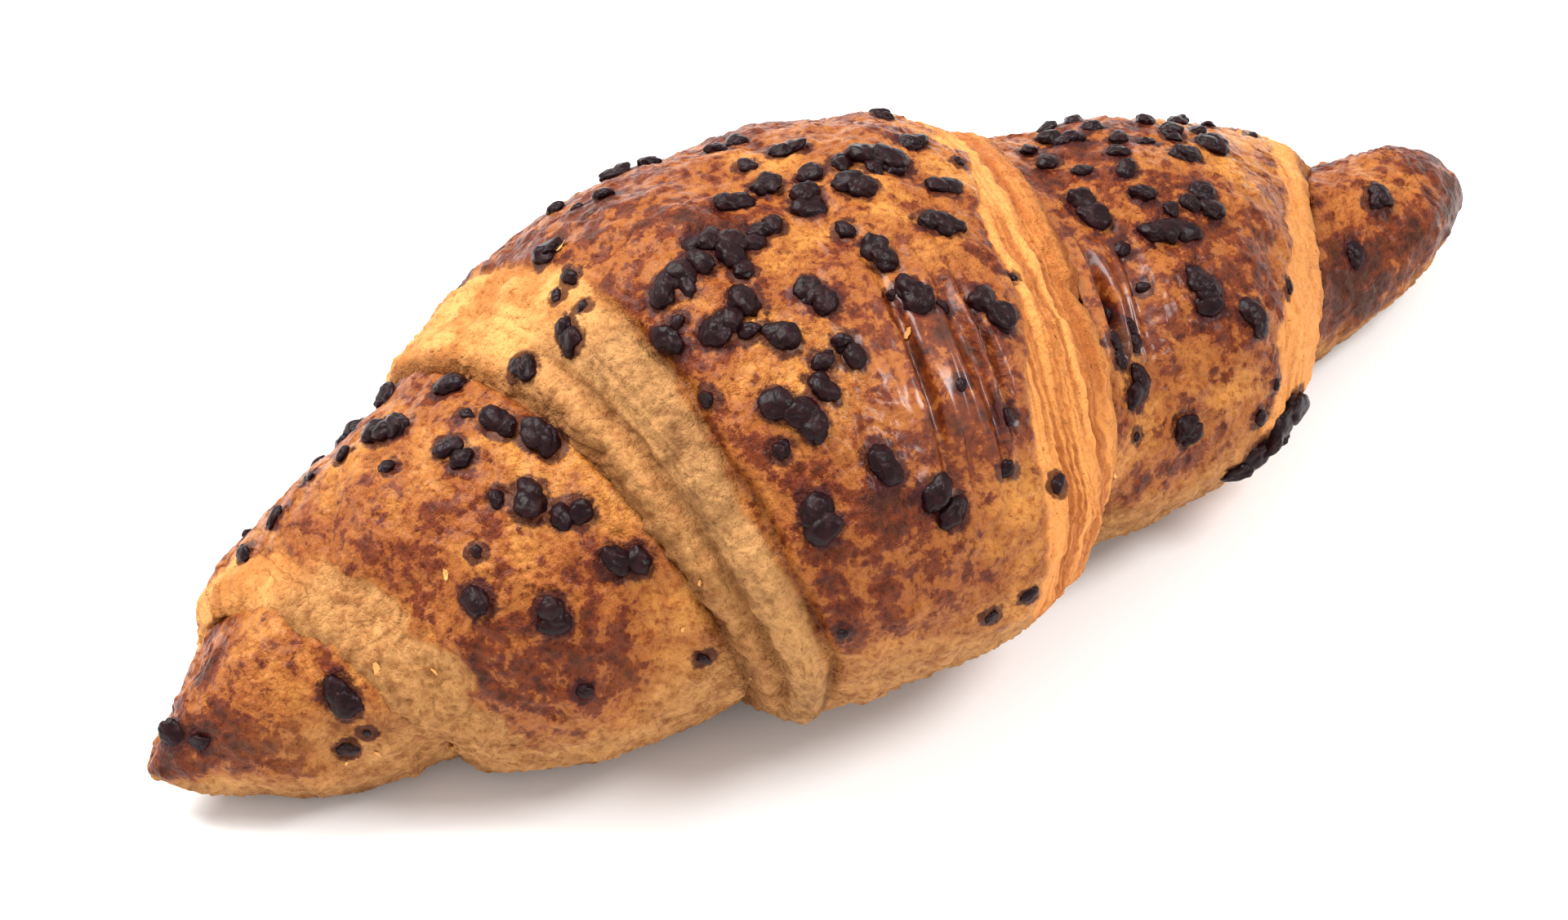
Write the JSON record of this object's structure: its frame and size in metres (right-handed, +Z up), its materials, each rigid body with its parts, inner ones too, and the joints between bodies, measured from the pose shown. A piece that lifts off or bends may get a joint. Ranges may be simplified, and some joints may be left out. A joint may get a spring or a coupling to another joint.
{
  "type": "croissant",
  "caption": "Plump baked croissant with rolled layers, blunt horns and a flat underside, sprinkled with dark chocolate granules baked onto its glazed crust.",
  "frame": {"origin": "centre of the underside's bounding rectangle, on the surface the croissant rests on", "axes": "+X along the croissant from the lower, pointed left horn to the right horn, +Y to the back, +Z up"},
  "size_m": [0.1746, 0.0708, 0.0561],
  "materials": {
    "crust": "baked laminated dough: glossy egg glaze, golden to reddish brown, with matt pale cream where the layers stretched apart",
    "chocolate": "dark chocolate, baked, satin with soft highlights"
  },
  "bodies": {
    "root": {"croissant": "crust", "granule_01": "chocolate", "granule_02": "chocolate", "granule_03": "chocolate", "granule_04": "chocolate", "granule_05": "chocolate", "granule_06": "chocolate", "granule_07": "chocolate", "granule_08": "chocolate", "granule_09": "chocolate", "granule_10": "chocolate", "granule_11": "chocolate", "granule_12": "chocolate", "granule_13": "chocolate", "granule_14": "chocolate", "granule_15": "chocolate", "granule_16": "chocolate", "granule_17": "chocolate", "granule_18": "chocolate", "granule_19": "chocolate", "granule_20": "chocolate", "granule_21": "chocolate", "granule_22": "chocolate", "granule_23": "chocolate", "granule_24": "chocolate", "granule_25": "chocolate", "granule_26": "chocolate", "granule_27": "chocolate", "granule_28": "chocolate", "granule_29": "chocolate", "granule_30": "chocolate", "granule_31": "chocolate", "granule_32": "chocolate", "granule_33": "chocolate", "granule_34": "chocolate", "granule_35": "chocolate", "granule_36": "chocolate", "granule_37": "chocolate", "granule_38": "chocolate", "granule_39": "chocolate", "granule_40": "chocolate", "granule_41": "chocolate", "granule_42": "chocolate", "granule_43": "chocolate", "granule_44": "chocolate", "granule_45": "chocolate", "granule_46": "chocolate", "granule_47": "chocolate", "granule_48": "chocolate", "granule_49": "chocolate", "granule_50": "chocolate", "granule_51": "chocolate", "granule_52": "chocolate", "granule_53": "chocolate", "granule_54": "chocolate", "granule_55": "chocolate", "granule_56": "chocolate", "granule_57": "chocolate", "granule_58": "chocolate", "granule_59": "chocolate"}
  },
  "joints": []
}
